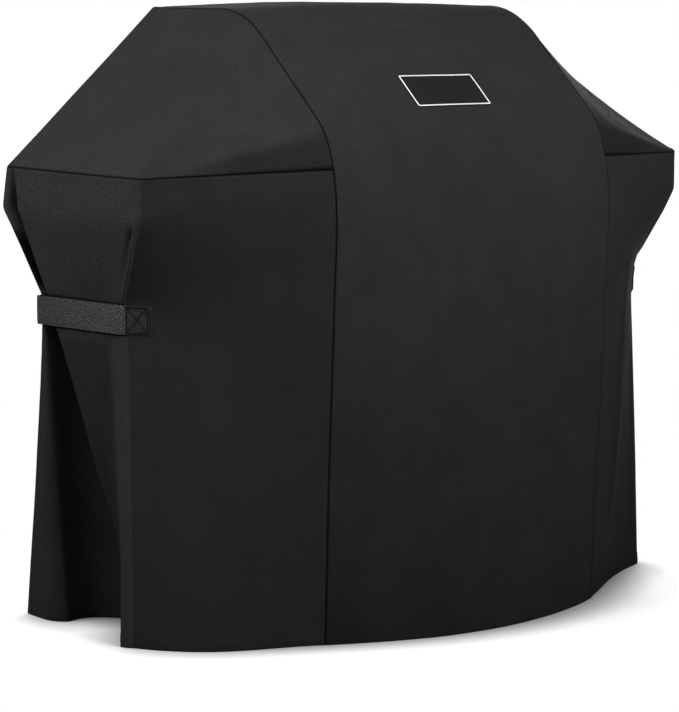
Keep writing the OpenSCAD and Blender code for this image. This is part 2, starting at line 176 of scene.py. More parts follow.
def drift(p):
    """Slow waves of the hanging cloth, the same on both sides of every seam."""
    skirt = smooth((shelf_h - p.z) / 0.25)
    held = 1 - math.exp(-((p.z - strap_mid) / 0.06) ** 2) * smooth((abs(p.x) - 0.45) / 0.1)
    slow = noise.noise_vector(Vector((p.x * 4.2, p.y * 4.2, p.z * 1.3 + 3)))
    quick = noise.noise_vector(Vector((p.x * 11, p.y * 11, p.z * 3.4 + 9)))
    rear = 1 + 1.2 * smooth((p.y - 0.20) / 0.06)
    wave = (slow * 0.0036 + quick * 0.0014) * (0.35 + 0.65 * skirt) * held * rear
    ground = smooth(p.z / 0.05)
    return Vector((wave.x, wave.y, wave.z * 0.4 * ground * (1 - skirt)))


def seam_rise(gap):
    """Cloth stands up beside a seam, over the turned allowances."""
    return 0.0011 * (1 - math.exp(-gap / 0.0016)) + 0.0009 * math.exp(-((gap - 0.0060) / 0.0045) ** 2)


def fold_rise(p, folds):
    """Soft ridges and hollows along lines: start, end, half width, height."""
    rise = 0
    for start, end, width, height in folds:
        line = end - start
        share = (p - start).dot(line) / line.length_squared
        off = (p - start - line * min(1, max(0, share))).length
        rise += height * math.exp(-(off / width) ** 2) * smooth(0.5 + share * 2) * smooth(0.5 + (1 - share) * 2)
    return rise


def lengths(points):
    """Distance run at each of a row of points."""
    run = [0]
    for a, b in zip(points, points[1:]):
        run.append(run[-1] + (b - a).length)
    return run


def lay_weave(bm, weave, spread):
    """Gives every vertex its place on the flat cloth, and smooths all but the cut rim."""
    for face in bm.faces:
        face.smooth = True
        for loop in face.loops:
            loop[weave].uv = spread[loop.vert]
    for edge in bm.edges:
        edge.smooth = not edge.is_boundary


skins = {}


def cloth_mesh(name, spots, seams, folds=(), flip=False, hem=None, shade=None):
    """Lays a grid on rows of points and works the cloth's relief into it. seams says which of the
    left, right, first and last edges are sewn, from 0 to 1; hem is the height of each row, if hemmed;
    shade gives the painted shade of each row and column, kept in the seam attribute."""
    rows, cols = len(spots), len(spots[0])
    bm = bmesh.new()
    sewn, weave = bm.verts.layers.float.new("seam"), bm.loops.layers.uv.new("weave")
    bmesh.ops.create_grid(bm, x_segments=cols - 1, y_segments=rows - 1, size=1)
    place = [[None] * cols for _ in range(rows)]
    for v in bm.verts:
        i, j = round((v.co.x + 1) / 2 * (cols - 1)), round((v.co.y + 1) / 2 * (rows - 1))
        place[j][i] = v
        v.co = spots[j][i] + drift(spots[j][i])
    if flip:
        bmesh.ops.reverse_faces(bm, faces=bm.faces)
    bm.normal_update()
    across, up = lengths([v.co for v in place[rows // 2]]), lengths([row[cols // 2].co for row in place])
    moves = []
    for j in range(rows):
        for i in range(cols):
            v = place[j][i]
            gaps = (across[i], across[-1] - across[i], up[j], up[-1] - up[j])
            runs = (up[j], up[j], across[i], across[i])
            rise, edge = 0, 1
            for gap, run, strength in zip(gaps, runs, seams):
                edge *= smooth(gap / 0.03)
                if strength:
                    pucker = noise.noise(Vector((run * 42, v.co.x * 3, v.co.z * 3)))
                    rise += strength * 0.0009 * pucker * math.exp(-gap / 0.022) * smooth(gap / 0.004)
                    v[sewn] = max(v[sewn], strength * math.exp(-(gap / 0.0016) ** 2))
            near = min(gap / strength for gap, strength in zip(gaps, seams) if strength)
            loose = min([gap for gap, strength in zip(gaps[:2], seams[:2]) if not strength], default=1)
            rise += (seam_rise(near) - seam_rise(0)) * smooth(loose / 0.03)
            # Painted shade from shade goes into the same attribute as the dark seam lines.
            if shade:
                v[sewn] = max(v[sewn], shade(j, i))
            rise += edge * (0.0011 * noise.noise(v.co * 7.5) + 0.0006 * noise.noise(v.co * 21))
            rise += edge * fold_rise(v.co, folds)
            if hem and hem[j] < 0.05:
                past_stitch = hem[j] - 0.0225
                rise += 0.0006 * (1 - smooth(past_stitch / 0.003)) - 0.0012 * math.exp(-hem[j] / 0.002)
                rise -= 0.0006 * math.exp(-(past_stitch / 0.0016) ** 2)
            on_edge = i in (0, cols - 1) or seams[2] and j == 0 or seams[3] and j == rows - 1
            moves.append((v, v.normal * (0 if on_edge else rise)))
    for v, move in moves:
        v.co += move
        v.co.z = max(v.co.z, 0)
    bm.normal_update()
    lay_weave(bm, weave, {place[j][i]: (across[i], up[j]) for j in range(rows) for i in range(cols)})
    skins[name] = [[(v.co.copy(), v.normal.copy()) for v in row] for row in place]
    return bm


def piece(name, bm, thick=None, finish=None):
    """Turns a mesh into a piece, walled inwards where it has a thickness."""
    mesh = bpy.data.meshes.new(name)
    bm.to_mesh(mesh)
    bm.free()
    made = bpy.data.objects.new(name, mesh)
    scene.collection.objects.link(made)
    if thick:
        wall = made.modifiers.new("thickness", "SOLIDIFY")
        wall.thickness = thick
        wall.offset = -1
    mesh.materials.append(finish)
    return made


class Nodes:
    """Short way to write the nodes of a material."""

    def __init__(self, name):
        self.material = bpy.data.materials.new(name)
        self.material.use_nodes = True
        self.tree = self.material.node_tree
        self.shader = self.tree.nodes["Principled BSDF"]

    def add(self, kind, **settings):
        made = self.tree.nodes.new("ShaderNode" + kind)
        for key, value in settings.items():
            setattr(made, key, value)
        return made

    def link(self, source, target):
        self.tree.links.new(source, target)

    def noise(self, coords, scale, detail=2, rough=0.5):
        made = self.add("TexNoise")
        made.inputs["Scale"].default_value = scale
        made.inputs["Detail"].default_value = detail
        made.inputs["Roughness"].default_value = rough
        self.link(coords, made.inputs["Vector"])
        return made.outputs["Fac"]

    def sum(self, how, a, b):
        made = self.add("Math", operation=how)
        for value, socket in ((a, made.inputs[0]), (b, made.inputs[1])):
            if isinstance(value, (int, float)):
                socket.default_value = value
            else:
                self.link(value, socket)
        return made.outputs[0]

    def span(self, value, low, high):
        """The value's 0 to 1 spread from low to high."""
        made = self.add("MapRange")
        made.inputs["To Min"].default_value = low
        made.inputs["To Max"].default_value = high
        self.link(value, made.inputs["Value"])
        return made.outputs["Result"]

    def tint(self, colour, strength):
        """A colour times a varying strength."""
        made = self.add("Mix", data_type="RGBA", blend_type="MULTIPLY")
        made.inputs["Factor"].default_value = 1
        made.inputs[6].default_value = (*colour, 1)
        self.link(strength, made.inputs[7])
        return made.outputs[2]

    def bump(self, height, distance, strength, under=None):
        made = self.add("Bump")
        made.inputs["Strength"].default_value = strength
        made.inputs["Distance"].default_value = distance
        self.link(height, made.inputs["Height"])
        if under:
            self.link(under, made.inputs["Normal"])
        return made.outputs["Normal"]

    def threads(self, coords, pitch):
        """Plain weave: two crossed sets of rounded threads."""
        turns = []
        for direction in ("X", "Y"):
            made = self.add("TexWave", bands_direction=direction)
            made.inputs["Scale"].default_value = math.pi / 10 / pitch
            made.inputs["Distortion"].default_value = 0.6
            made.inputs["Detail"].default_value = 1
            made.inputs["Detail Scale"].default_value = 1.3
            self.link(coords, made.inputs["Vector"])
            turns.append(made.outputs["Fac"])
        return self.sum("MULTIPLY", *turns)


thread_pitch = 0.0016


def cloth_finish(name, colour, dust=0.006, low=0.95, mottle=0.18):
    """Matt woven polyester: threads, slubs, mottling, darker in the seams and in the painted shade that the
    seam attribute carries, and painted shade by height, from low at the hem to a little lighter up top.
    """
    n = Nodes(name)
    uv = n.add("UVMap", uv_map="weave").outputs["UV"]
    place = n.add("TexCoord").outputs["Object"]
    seam = n.add("Attribute", attribute_name="seam").outputs["Fac"]
    weave = n.threads(uv, thread_pitch)
    grain = n.noise(uv, 340, 3, 0.75)
    slow = n.noise(place, 3.2, 4, 0.6)
    stain = n.noise(place, 14, 5, 0.62)
    shade = n.sum("MULTIPLY", n.span(weave, 0.86, 1.12), n.span(grain, -0.1, 2.1))
    cloudy = n.sum("MULTIPLY", n.span(slow, 0.80, 1.20), n.span(stain, 1 - mottle, 1 + mottle))
    shade = n.sum("MULTIPLY", shade, cloudy)
    # Darker on the seam lines, and by the painted shade that cloth_mesh writes into the same attribute.
    shade = n.sum("MULTIPLY", shade, n.span(seam, 1, 0.04))
    # Painted light and shade by height: times low at the floor, rising to 1.10 a metre up.
    height = n.add("SeparateXYZ")
    n.link(place, height.inputs["Vector"])
    shade = n.sum("MULTIPLY", shade, n.span(height.outputs["Z"], low, 1.10))
    n.link(n.tint(colour, shade), n.shader.inputs["Base Color"])
    n.link(n.span(stain, 0.74, 0.9), n.shader.inputs["Roughness"])
    n.shader.inputs["IOR"].default_value = 1.04
    n.shader.inputs["Sheen Weight"].default_value = dust
    n.shader.inputs["Sheen Roughness"].default_value = 0.55
    n.shader.inputs["Sheen Tint"].default_value = (0.75, 0.77, 0.8, 1)
    soft = n.bump(stain, 0.002, 0.35)
    n.link(n.bump(n.sum("ADD", weave, grain), 0.0004, 0.55, soft), n.shader.inputs["Normal"])
    return n.material


# Each panel has its own copy of the one polyester, with painted light and shade in its tone: the centre, ends
# and right front lighter, the left front darker, and the centre and right front darkening steeply towards the
# hem.
centre_cloth = cloth_finish("polyester_centre_painted_light_and_shade", (0.0232, 0.0232, 0.0234), low=0.50, mottle=0.25)
cover_cloth = cloth_finish("polyester", (0.0210, 0.0210, 0.0212), mottle=0.20)
centre_shares = seamed(2 * seam_x, centre_step)


def centre_spots():
    rows = []
    for j, at in enumerate(seam_line):
        row = []
        for share in centre_shares:
            x = (2 * share - 1) * seam_x
            s = 1 - (x / seam_x) ** 2
            if j > rear_edge:
                row.append(Vector((x, at.x + rear_bow * (1 - at.y / roof_h) * s, at.y)))
            else:
                out = front_bow * max(0, 1 - at.y / roof_h) ** 1.4 * s
                lift = roof_crown * max(0, (at.y - shelf_seam_h) / (roof_h - shelf_seam_h)) * s
                row.append(Vector((x, at.x - out, at.y + lift)))
        rows.append(row)
    return rows


centre_folds = [
    (Vector((0.21, -0.262, 0.87)), Vector((0.30, -0.262, 0.76)), 0.016, 0.0035),
    (Vector((0.24, -0.262, 0.86)), Vector((0.31, -0.262, 0.79)), 0.012, -0.0030),
    (Vector((-0.30, -0.27, 0.83)), Vector((-0.24, -0.28, 0.72)), 0.020, 0.0015),
    (Vector((-0.10, -0.31, 0.40)), Vector((-0.13, -0.32, 0.05)), 0.045, 0.0030),
    (Vector((0.12, -0.31, 0.45)), Vector((0.15, -0.32, 0.04)), 0.050, -0.0028),
]
hem_of_centre = [min(at.y, 0.2) for at in seam_line]
centre_panel = piece(
    "centre_cloth", cloth_mesh("centre", centre_spots(), (1, 0.5, 0, 0), centre_folds, hem=hem_of_centre),
    cloth_thick, centre_cloth)
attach(centre_panel, "cover")
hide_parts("centre_panel")

# Front panels: the cloth between each long seam and the front corner of the shelf. The straps pull the
# corners back under the shelf, so the cloth turns under there and hangs nearly straight by the long seam.
half_w, shelf_y = 0.622, -0.1205
panel_shares = seamed(0.34, 0.0085)
hem_bulge = {-1: 0.040, 1: -0.012}
hem_inset = {-1: 0.026, 1: 0.003}


def corner_at(z, side, give=cloth_give):
    """Plan of the front corner."""
    return Vector((
        eased(z, give, (0, half_w - hem_inset[side]), (strap_low, half_w - 0.028), (strap_high, half_w - 0.028),
              (fascia_h, half_w)),
        eased(z, give, (0, shelf_y + 0.083), (strap_low, shelf_y + 0.088), (strap_high, shelf_y + 0.088),
              (fascia_h, shelf_y))))


def round_at(z):
    """Radius of the front corner: soft below the strap, and tight above it."""
    return eased(z, cloth_give, (0, 0.013), (0.50, 0.012), (strap_low, 0.006), (strap_high, 0.005),
                 (0.712, 0.005), (fascia_h, 0.007))


def seam_foot(z):
    """Plan point where a row meets the long seam."""
    return Vector((seam_x, front_y(raised(z, shelf_seam_h))))


def left_of(way):
    return Vector((-way.y, way.x)).normalized()


def front_plan(z, share, side):
    """Plan point of a right-hand front panel, side saying how far its hem bulges."""
    start = seam_foot(z)
    give = min(cloth_give + 0.080 * (1 - share ** 2), max(cloth_give, shelf_h - z))
    corner = corner_at(z, side, give)
    way = (corner - start).normalized()
    bulge = eased(z, 0.03, (0, hem_bulge[side]), (strap_low, 0.014), (strap_high, 0.014), (shelf_h, 0))
    bulge *= smooth((shelf_h - z) / 0.03)
    spot = start.lerp(corner - round_at(z) * way, share)
    return spot - bulge * math.sin(math.pi * share ** 1.4) * left_of(way)


def turned(x, y, z, side):
    return Vector((side * x, y, z))


def front_spots(side):
    rows = []
    for z in skirt_z:
        top = raised(z, shelf_seam_h)
        row = [(front_plan(z, s, side), top + (z - top) * s) for s in panel_shares]
        rows.append([turned(p.x, p.y, height, side) for p, height in row])
    return rows


# Painted light and shade: the left front a darker copy of the cloth, the right front a lighter one that darkens
# steeply towards the hem.
front_cloths = {
    -1: cloth_finish("polyester_left_front_painted_shade", (0.0168, 0.0168, 0.0170)),
    1: cloth_finish("polyester_right_front_painted_light_and_shade", (0.0222, 0.0222, 0.0224), low=0.42, mottle=0.20),
}
for side, word in ((-1, "left"), (1, "right")):
    folds = [
        (turned(0.585, -0.075, 0.735, side), turned(0.565, -0.06, 0.61, side), 0.022, -0.0040),
        (turned(0.50, -0.12, 0.52, side), turned(0.44, -0.17, 0.20, side), 0.040, 0.0022),
        (turned(0.56, -0.06, 0.53, side), turned(0.57, -0.07, 0.06, side), 0.022, -0.0034),
    ]
    if side > 0:
        folds.append((turned(0.46, -0.14, 0.66, side), turned(0.43, -0.16, 0.08, side), 0.022, 0.0040))
    panel = piece(
        word + "_front_cloth",
        cloth_mesh(word + "_front", front_spots(side), (1 if side < 0 else 0.5, 0, 0, 1), folds, side < 0,
                   skirt_z),
        cloth_thick, front_cloths[side])
    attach(panel, "cover")
    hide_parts(word + "_front_panel")

# End panels: the cloth over each end of the shelf. It is folded into a deep pleat behind the flap, which
# the strap holds shut, and the pleat falls open again towards the hem.
tuck = 0.008
strap_line_x, strap_line_y = half_w - 0.008, rear_y - 0.095


def rear_corner_at(z):
    """Plan of the rear corner, which the strap pulls forward."""
    return Vector((
        eased(z, cloth_give, (0, half_w - 0.045), (strap_low, strap_line_x), (strap_high, strap_line_x),
              (fascia_h, half_w + 0.004), (shelf_h, half_w + 0.0015)),
        eased(z, cloth_give, (0, rear_y + 0.027), (strap_low, strap_line_y), (strap_high, strap_line_y),
              (fascia_h, rear_y + 0.013), (shelf_h, rear_y + 0.001))))


def ridge_at(z, side):
    """Plan of the flap's rear ridge, where the pleat begins."""
    foot = 0.150
    if z < strap_low:
        s = max(0, (z - foot) / (strap_low - foot))
        corner = corner_at(z, side)
        return Vector((corner.x + (strap_line_x - corner.x) * s,
                       corner.y + 0.014 + (strap_line_y - 0.038 - corner.y - 0.014) * s ** 1.2))
    return Vector((
        along(z, (strap_low, strap_line_x), (strap_high, strap_line_x - 0.001), (fascia_h, half_w)),
        along(z, (strap_low, strap_line_y - 0.038), (strap_high, strap_line_y - 0.013),
              (fascia_h, rear_y - 3.4 * tuck), (shelf_h, rear_y - 3 * tuck))))


def rear_fold_at(z):
    """Plan of the fold that the pleat comes out to."""
    return Vector((
        eased(z, cloth_give, (0, half_w - 0.037), (strap_low, half_w - 0.007), (strap_high, strap_line_x),
              (fascia_h, half_w + 0.003), (shelf_h, half_w)),
        eased(z, cloth_give, (0, rear_y - 0.062), (strap_low, strap_line_y - 0.009),
              (strap_high, strap_line_y - 0.007), (fascia_h, rear_y), (shelf_h, rear_y - tuck))))


def pleat_at(z):
    """Plan of the pleat's inner fold."""
    deep = along(z, (0, 0.182), (strap_low, 0.100), (strap_high, 0.100), (fascia_h, 0.035),
                 (shelf_h - 0.029, 0.008), (shelf_h, 0))
    back = along(z, (0, rear_y - 0.150), (strap_low, strap_line_y - 0.020), (strap_high, strap_line_y - 0.010),
                 (fascia_h, rear_y - 1.6 * tuck), (shelf_h, rear_y - 2 * tuck))
    return Vector((half_w - deep, back))


def end_plan(z, side):
    """Plan points of a right-hand end panel, its folds rounded as cloth turns."""
    start = seam_foot(z)
    corner, ridge, pleat = corner_at(z, side), ridge_at(z, side), pleat_at(z)
    fold, rear = rear_fold_at(z), rear_corner_at(z)
    way = (corner - start).normalized()
    first, after = corner - round_at(z) * way, corner + round_at(z) * (ridge - corner).normalized()
    pinch = eased(z, cloth_give, (strap_high + 0.004, 0), (strap_high + 0.028, 0.0065), (0.700, 0.0065),
                  (0.738, 0))
    peak = corner + pinch * (way - (ridge - corner).normalized()).normalized()
    plan = [curve(first, peak, after, k / corner_steps) for k in range(corner_steps + 1)]
    stops, here = [after, ridge, pleat, fold, rear], after
    belly = 0.035 * max(0, 1 - z / strap_low)
    for k in range(1, 4):
        before, at, then = stops[k - 1], stops[k], stops[k + 1]
        soft = 0.006 + 0.030 * max(0, 1 - z / strap_low) if k == 3 else 0.006
        cut = min(soft, 0.35 * (at - before).length, 0.35 * (then - at).length)
        into, out = at + cut * (before - at).normalized(), at + cut * (then - at).normalized()
        straight, bend = pleat_steps[2 * k - 2], pleat_steps[2 * k - 1]
        side_way = Vector((0, belly if k == 3 else 0))
        plan += [here.lerp(into, i / straight) + side_way * math.sin(math.pi * i / straight)
                 for i in range(1, straight + 1)]
        plan += [curve(into, at, out, i / bend) for i in range(1, bend + 1)]
        here = out
    return plan + [here.lerp(rear, i / pleat_steps[-1]) for i in range(1, pleat_steps[-1] + 1)]


def end_spots(side):
    return [[turned(p.x, p.y, z, side) for p in end_plan(z, side)] for z in skirt_z]


def end_shade(j, i):
    """Painted shade: deep inside the pleat and on the rear strip in the tuck, softer on the flap, under the
    fascia and along the corner's dent, and painted shadow lines at the strap's edges.
    """
    z = skirt_z[j]
    mouth, out = corner_steps + sum(pleat_steps[:2]), end_steps - sum(pleat_steps[5:])
    past = i - corner_steps
    pleat = along(z, (0, 0), (strap_low, 0.1), (strap_high, 0.9), (0.70, 0.9), (0.76, 0.4))
    pleat *= min(smooth((i - mouth + 2) / 6), smooth((out - i + 1) / 5))
    flap = 0.42 * smooth((strap_low - z) / 0.03) + 0.22 * smooth((past - 4) / 22) * smooth((0.50 - z) / 0.4)
    flap *= smooth((past - 2) / 5) * smooth((mouth + 8 - i) / 8)
    rear = 0.95 * smooth((z - strap_high) / 0.02) * smooth((fascia_h - 0.01 - z) / 0.05)
    rear *= smooth((i - out + 7) / 4)
    nearest = min(abs(z - strap_high - 0.0015), abs(z - strap_low + 0.0015))
    lines = 0.9 * math.exp(-(nearest / 0.0028) ** 2) * smooth((i - 4) / 6)
    dent_shadow = 0.8 * math.exp(-((past - 0.5) / 1.2) ** 2) * smooth((0.745 - z) / 0.02) * smooth((z - 0.60) / 0.12)
    under = 0.20 * smooth((fascia_h + 0.01 - z) / 0.04) * smooth(past / 6)
    return max(pleat, flap, rear, under, lines, dent_shadow)


# Painted light: the ends are a lighter copy of the cloth.
end_cloth = cloth_finish("polyester_end_painted_light", (0.0235, 0.0235, 0.0238))
for side, word in ((-1, "left"), (1, "right")):
    folds = [
        (turned(0.620, -0.095, 0.735, side), turned(0.607, -0.065, 0.665, side), 0.006, -0.0018),
        (turned(0.600, 0.000, 0.525, side), turned(0.598, 0.005, 0.06, side), 0.026, -0.0045),
        (turned(0.62, 0.02, 0.80, side), turned(0.61, 0.05, 0.62, side), 0.035, 0.0018),
        (turned(0.62, 0.16, 0.74, side), turned(0.61, 0.13, 0.62, side), 0.025, -0.0022),
    ]
    panel = piece(
        word + "_end_cloth",
        cloth_mesh(word + "_end", end_spots(side), (0, 0.6, 0, 1), folds, side < 0, skirt_z, end_shade),
        cloth_thick, end_cloth)
    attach(panel, "cover")
    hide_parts(word + "_end_panel")

# Back panels: the cloth from each rear corner to the long seam. It reaches up to the roof beside the seam,
# and falls in a shallow sag between the roof and the shelf.
crest_sag = {-1: 0.002, 1: 0.032}


def sag_at(share, side):
    """Sag of the rear edge of a shoulder, a share of the way from the hood to the shelf's end."""
    shape = eased(share, 0.08, (0, 0), (0.27, 0.74), (0.55, 0.50), (0.8, 0.30), (1, 0))
    return crest_sag[side] * shape * smooth(min(share, 1 - share) / 0.06)


def back_spots(side):
    rows = []
    for z in skirt_z:
        top = raised(z, roof_h)
        corner, seam = rear_corner_at(z), Vector((seam_x, back_y(top)))
        droop = along(z, (strap_high, 0), (shelf_h, 1))
        row = []
        for s in panel_shares:
            p = corner.lerp(seam, s)
            row.append(turned(p.x, p.y, z + (top - z) * s - droop * sag_at(1 - s, side), side))
        rows.append(row)
    return rows


for side, word in ((-1, "left"), (1, "right")):
    folds = [
        (turned(0.55, 0.23, 0.62, side), turned(0.42, 0.27, 0.80, side), 0.030, 0.0030),
        (turned(0.54, 0.24, 0.53, side), turned(0.46, 0.28, 0.15, side), 0.035, 0.0035),
        (turned(0.50, 0.25, 0.50, side), turned(0.40, 0.29, 0.08, side), 0.035, -0.0030),
    ]
    panel = piece(
        word + "_back_cloth",
        cloth_mesh(word + "_back", back_spots(side), (0.6, 1, 0, 1), folds, side < 0, skirt_z),
        cloth_thick, cover_cloth)
    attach(panel, "cover")
    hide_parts(word + "_back_panel")

# Shoulder panels: the cloth that slopes from the hood's arched seam down to the shelf's edge. It spans
# between them with a slight sag, which is deeper on the right.


def shoulder_spots(side):
    top_row = end_plan(shelf_h, side)
    rows = []
    for k in range(end_steps + 1):
        arch = arch_at(k) if k else Vector((front_y(shelf_seam_h), shelf_seam_h))
        shelf = top_row[k]
        past = min(1, k / corner_steps)
        run = 0.5 * past + 0.5 * max(0, (k - corner_steps) / (end_steps - corner_steps))
        belly = 0.009 * math.sin(math.pi * run)
        row = []
        for s in panel_shares:
            p = Vector((seam_x, arch.x)).lerp(shelf, s)
            sag = belly * math.sin(math.pi * s) + smooth(past) * sag_at(s, side)
            height = arch.y + (shelf_h - arch.y) * s - sag
            row.append(turned(p.x, p.y, height, side))
        rows.append(row)
    return rows


def shoulder_shade(j, i):
    """Shade where the cloth turns down steeply to the shelf seam, deepest beside the hood."""
    return 0.32 * smooth((10 - j) / 5) * smooth((0.86 - panel_shares[i]) / 0.5)


for side, word in ((-1, "left"), (1, "right")):
    folds = [
        (turned(0.325, -0.255, 0.880, side), turned(0.52, -0.165, 0.836, side), 0.022, 0.0045),
        (turned(0.34, -0.20, 0.91, side), turned(0.47, -0.14, 0.86, side), 0.030, 0.0025),
        (turned(0.60, -0.08, 0.83, side), turned(0.45, -0.02, 0.95, side), 0.035, 0.0025),
    ]
    panel = piece(
        word + "_shoulder_cloth",
        cloth_mesh(word + "_shoulder", shoulder_spots(side), (1, 1, 1, 1), folds, side < 0,
                   shade=shoulder_shade),
        cloth_thick, cover_cloth)
    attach(panel, "cover")
    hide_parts(word + "_shoulder_panel")

# Hem facings: the turned edge of every skirt panel, folded to its inside and held by one row of stitches
# just below the raw edge. They are the same cloth as the panels.
def strip(name, rows, depth, thick, finish, flip=False):
    """Piece laid inside the cloth, over rows of cloth points and directions."""
    bm = bmesh.new()
    weave = bm.loops.layers.uv.new("weave")
    bmesh.ops.create_grid(bm, x_segments=len(rows[0]) - 1, y_segments=len(rows) - 1, size=1)
    for v in bm.verts:
        i = round((v.co.x + 1) / 2 * (len(rows[0]) - 1))
        point, out = rows[round((v.co.y + 1) / 2 * (len(rows) - 1))][i]
        v.co = point - out * depth
        v.co.z = max(v.co.z, 0.0002)
    if flip:
        bmesh.ops.reverse_faces(bm, faces=bm.faces)
    lay_weave(bm, weave, {v: (v.co.x + v.co.y, v.co.z) for v in bm.verts})
    return piece(name, bm, thick, finish)


turned_rows, taped_rows = beside_hem.index(0.025) + 1, beside_seam.index(0.015) + 1
hem_thick, inner_face = 0.0010, cloth_thick + 0.0001
hem_places = [("centre_front", skins["centre"][:turned_rows], False),
              ("centre_back", skins["centre"][-turned_rows:], False)]
for side, word in ((-1, "left"), (1, "right")):
    for panel_name in ("front", "end", "back"):
        hem_places.append((word + "_" + panel_name, skins[word + "_" + panel_name][:turned_rows], side < 0))
for name, rows, flip in hem_places:
    hem = strip(name + "_facing", rows, inner_face, hem_thick, cover_cloth, flip)
    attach(hem, "cover")
    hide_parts(name + "_hem")

# Seam tapes: the folded binding over the raw edges inside each long seam, shelf seam and corner seam. It is
# a thinner woven tape than the cover's cloth, a little dusty, and it lies flat against the inside.
tape_finish = cloth_finish("binding_tape", (0.02, 0.02, 0.022), dust=0.05)
tape_thick = 0.0007
sewn_rows = slice(turned_rows, None)
for side, word in ((-1, "left"), (1, "right")):
    front, end, back = (skins[word + "_" + part] for part in ("front", "end", "back"))
    edge_columns = slice(0, taped_rows) if side < 0 else slice(-taped_rows, None)
    tapes = {
        "long_seam": [row[edge_columns] for row in skins["centre"][turned_rows:-turned_rows]],
        "shelf_seam": [a + b[1:] for a, b in zip(front[-taped_rows:], end[-taped_rows:])],
        "front_corner": [row[-taped_rows:] for row in front[sewn_rows][:-taped_rows]],
        "rear_corner": [row[:taped_rows] for row in back[sewn_rows][:-taped_rows]],
    }
    for seam_name, rows in tapes.items():
        flip = side < 0 and seam_name != "long_seam"
        tape = strip(word + "_" + seam_name + "_binding", rows, inner_face, tape_thick, tape_finish, flip)
        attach(tape, "cover")
        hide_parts(word + "_" + seam_name + "_tape")

# Hem stitches: one row of black bonded thread all round the hem, through the cloth and its facing. Each
# stitch shows on the outside as a short rounded bead, sunk a little into the cloth.
thread = Nodes("bonded_thread")
twist = thread.noise(thread.add("TexCoord").outputs["Object"], 900, 2, 0.6)
black = thread.tint((0.0035, 0.0035, 0.0036), thread.span(twist, 0.7, 1.3))
thread.link(black, thread.shader.inputs["Base Color"])
thread.shader.inputs["Roughness"].default_value = 0.7
thread.shader.inputs["Specular IOR Level"].default_value = 0.05
thread.link(thread.bump(twist, 0.0002, 0.5), thread.shader.inputs["Normal"])


one_stitch = bmesh.new()
bmesh.ops.create_uvsphere(one_stitch, u_segments=6, v_segments=4, radius=1)
for face in one_stitch.faces:
    face.smooth = True
stitch_shape = bpy.data.meshes.new("stitch")
one_stitch.to_mesh(stitch_shape)
one_stitch.free()


def sew(bm, path, pitch, length, wide):
    """Lays one small rounded stitch at each pitch along a path of points and outward directions."""
    ahead = pitch / 2
    for (a, out_a), (b, out_b) in zip(path, path[1:]):
        run = (b - a).length
        while ahead < run:
            t = ahead / run
            out, way = out_a.lerp(out_b, t).normalized(), (b - a).normalized()
            across = out.cross(way).normalized()
            turn_to = Matrix((way, across, way.cross(across))).transposed().to_4x4()
            size = Matrix.Diagonal((length / 2, wide / 2, wide / 2, 1))
            stitch = stitch_shape.copy()
            stitch.transform(Matrix.Translation(a.lerp(b, t) + out * wide * 0.22) @ turn_to @ size)
            bm.from_mesh(stitch)
            bpy.data.meshes.remove(stitch)
            ahead += pitch
        ahead -= run


stitch_row = beside_hem.index(0.022)
hem_stitch = (0.0050, 0.0036, 0.0007)
hem_thread = bmesh.new()
for name, rows, flip in hem_places:
    sew(hem_thread, rows[stitch_row if name != "centre_back" else -1 - stitch_row], *hem_stitch)
hem_stitches = piece("hem_stitches", hem_thread, None, thread.material)
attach(hem_stitches, "cover")

# Straps: flat 50 mm webbing. Each is sewn down to the front panel under a box and cross of thread, bends
# round the front corner, pulls the end of the cover in, and fastens flat on the back panel.
webbing_thick = 0.0019
fold_corner = corner_at(strap_mid, 1)
rear_turn = rear_corner_at(strap_mid)


def webbing_finish(name, colour, fleck_share):
    """Coarse flat webbing: heavy twilled yarns, light flecks, and firm edges."""
    n = Nodes(name)
    uv = n.add("UVMap", uv_map="weave").outputs["UV"]
    lean = n.add("Mapping")
    lean.inputs["Rotation"].default_value = (0, 0, math.radians(38))
    n.link(uv, lean.inputs["Vector"])
    yarn = n.threads(lean.outputs["Vector"], 0.0042)
    fleck = n.noise(uv, 430, 1, 0.6)
    slow = n.noise(uv, 24, 3, 0.6)
    flecks = n.span(fleck, 1 - 1.5 * fleck_share, 1 + 1.5 * fleck_share)
    shade = n.sum("MULTIPLY", n.span(yarn, 0.8, 1.3), n.sum("POWER", n.sum("MAXIMUM", flecks, 0), 1.8))
    # Slow mottling, times painted shade that darkens the strap along its run, from the front corner towards its
    # fastened end.
    run = n.add("SeparateXYZ")
    n.link(uv, run.inputs["Vector"])
    mottling_and_painted_shade = n.sum("MULTIPLY", n.span(slow, 0.6, 1.4), n.span(run.outputs["X"], 1.2, -0.7))
    shade = n.sum("MULTIPLY", shade, mottling_and_painted_shade)
    n.link(n.tint(colour, shade), n.shader.inputs["Base Color"])
    n.shader.inputs["Roughness"].default_value = 0.6
    n.shader.inputs["Specular IOR Level"].default_value = 0.05
    n.link(n.bump(n.sum("ADD", yarn, fleck), 0.0008, 0.8), n.shader.inputs["Normal"])
    return n.material


strap_webbing = webbing_finish("strap_webbing", (0.030, 0.030, 0.0303), 1.5)
# The anchor patch is the strap's own webbing in a darker tone: painted shade where it lies on the front panel.
anchor_webbing_painted_shade = webbing_finish("anchor_webbing_painted_shade", (0.0165, 0.0165, 0.0167), 0.7)


